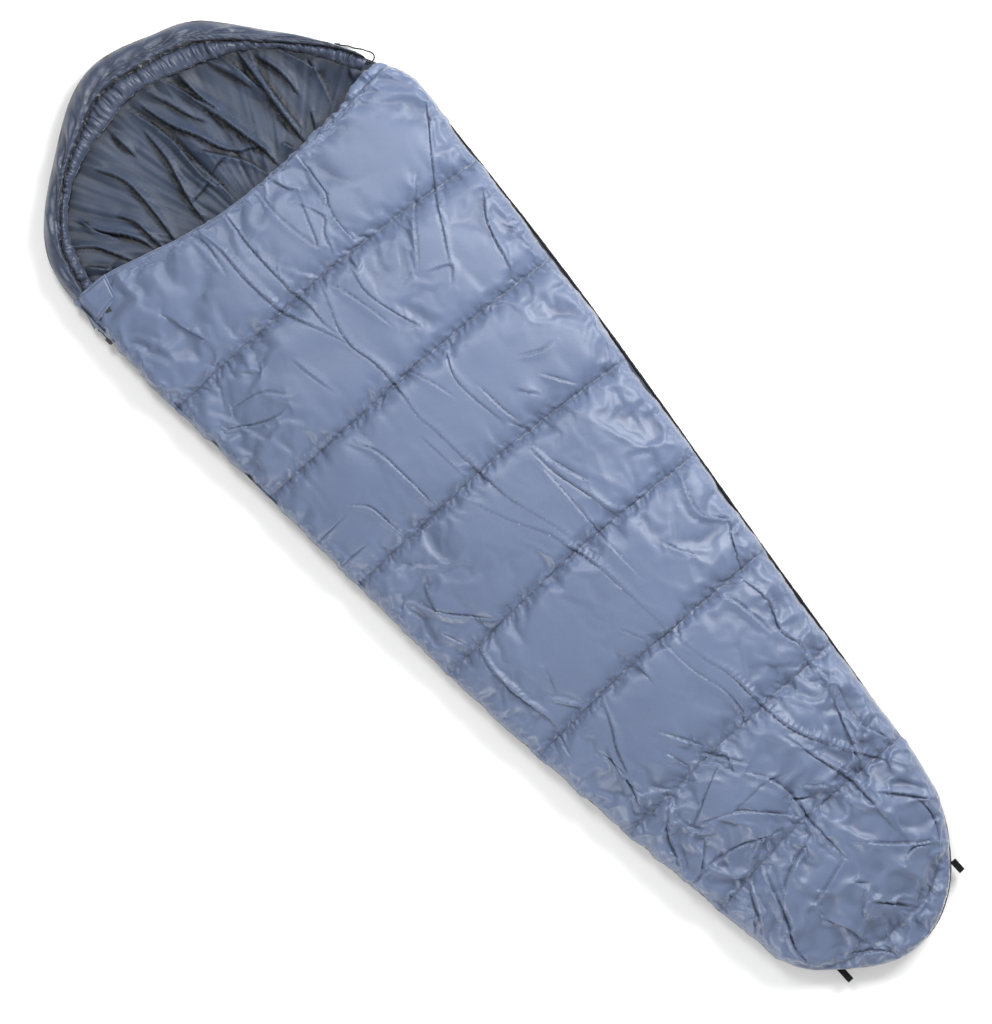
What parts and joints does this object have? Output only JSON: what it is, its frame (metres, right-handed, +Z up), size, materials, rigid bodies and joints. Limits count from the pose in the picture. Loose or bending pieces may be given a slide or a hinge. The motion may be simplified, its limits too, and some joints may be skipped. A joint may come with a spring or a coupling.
{
  "type": "mummy sleeping bag",
  "caption": "Tapered insulated sleeping bag with an open drawcord hood, a quilted cover that folds back from a side zip, and webbing hang loops at the foot.",
  "frame": {"origin": "on the surface the bag lies on, under the middle of its overall box", "axes": "+Z up, +Y from the foot box to the hood, -X the zip side (the left of somebody who looks down at the bag with the hood away from them)"},
  "size_m": [0.7403, 2.2065, 0.0981],
  "materials": {
    "shell_blue": "satin",
    "shell_black": "matte",
    "lining_slate": "satin",
    "insulation": "matte",
    "webbing_black": "matte",
    "zip_plastic": "satin",
    "slider_metal": "satin",
    "cord_black": "matte",
    "lock_plastic": "matte",
    "spring_steel": "satin",
    "hook_loop": "matte"
  },
  "bodies": {
    "back": {"back_shell": "shell_black", "back_insulation": "insulation", "back_lining": "lining_slate", "foot_cover_shell": "shell_blue", "foot_cover_insulation": "insulation", "foot_cover_lining": "lining_slate", "foot_box_pad": "insulation", "side_seam_binding": "shell_black", "zip_coil_back": "zip_plastic", "zip_tape_back": "webbing_black", "zip_bottom_stop": "slider_metal", "zip_top_stop": "slider_metal", "zip_draft_tube": "lining_slate", "hang_loop_left": "webbing_black", "hang_loop_right": "webbing_black"},
    "cover": {"cover_shell": "shell_blue", "cover_insulation": "insulation", "cover_lining": "lining_slate", "collar_hem": "shell_blue", "collar_elastic": "webbing_black", "zip_coil_cover": "zip_plastic", "zip_tape_cover": "webbing_black", "tab_loop_patch": "hook_loop"},
    "tab": {"tab_fabric": "shell_blue", "tab_hook_patch": "hook_loop"},
    "zip_slider": {"slider_body": "slider_metal"},
    "pull": {"zip_pull": "zip_plastic"},
    "hood": {"hood_shell": "shell_black", "hood_insulation": "insulation", "hood_lining": "lining_slate", "hood_rim_roll": "shell_blue", "hood_cord_channel": "shell_blue", "hood_corner_gather": "shell_blue", "hood_seam_binding": "shell_black", "hood_drawcord": "cord_black", "drawcord_eyelet": "slider_metal", "drawcord_tail": "cord_black", "drawcord_end": "lock_plastic"},
    "cord_lock": {"cord_lock_barrel": "lock_plastic", "cord_lock_spring": "spring_steel"},
    "lock_button": {"cord_lock_plunger": "lock_plastic"}
  },
  "joints": [
    {"name": "cover_fold", "type": "hinge", "parent": "back", "child": "cover", "pos_m": [-0.208, -0.884, 0.106], "axis": [0.3282, 0.9446, 0], "range_deg": [0, 165]},
    {"name": "tab_peel", "type": "hinge", "parent": "cover", "child": "tab", "pos_m": [-0.3562, 0.768, 0.0655], "axis": [0, -1, 0], "range_deg": [0, 150]},
    {"name": "zip_slide", "type": "hinge", "parent": "back", "child": "zip_slider", "pos_m": [12.64657, 1.11936, 0.035], "axis": [0, 0, 1], "range_deg": [0, 7.03]},
    {"name": "pull_swing", "type": "hinge", "parent": "zip_slider", "child": "pull", "pos_m": [-0.36317, 0.73782, 0.035], "axis": [0, 0, -1], "range_deg": [0, 150]},
    {"name": "hood_fold", "type": "hinge", "parent": "back", "child": "hood", "pos_m": [-0.352, 0.814, 0.06], "axis": [0.9964, -0.0842, 0], "range_deg": [0, 70]},
    {"name": "lock_slide", "type": "slide", "parent": "hood", "child": "cord_lock", "axis": [0.5446, -0.8387, 0], "range_m": [-0.008, 0.012]},
    {"name": "lock_button_press", "type": "slide", "parent": "cord_lock", "child": "lock_button", "axis": [0.8387, 0.5446, 0], "range_m": [0, 0.0035], "stiffness_N_per_m": 300, "springref_m": -0.001, "deforming": ["cord_lock_spring"]}
  ]
}
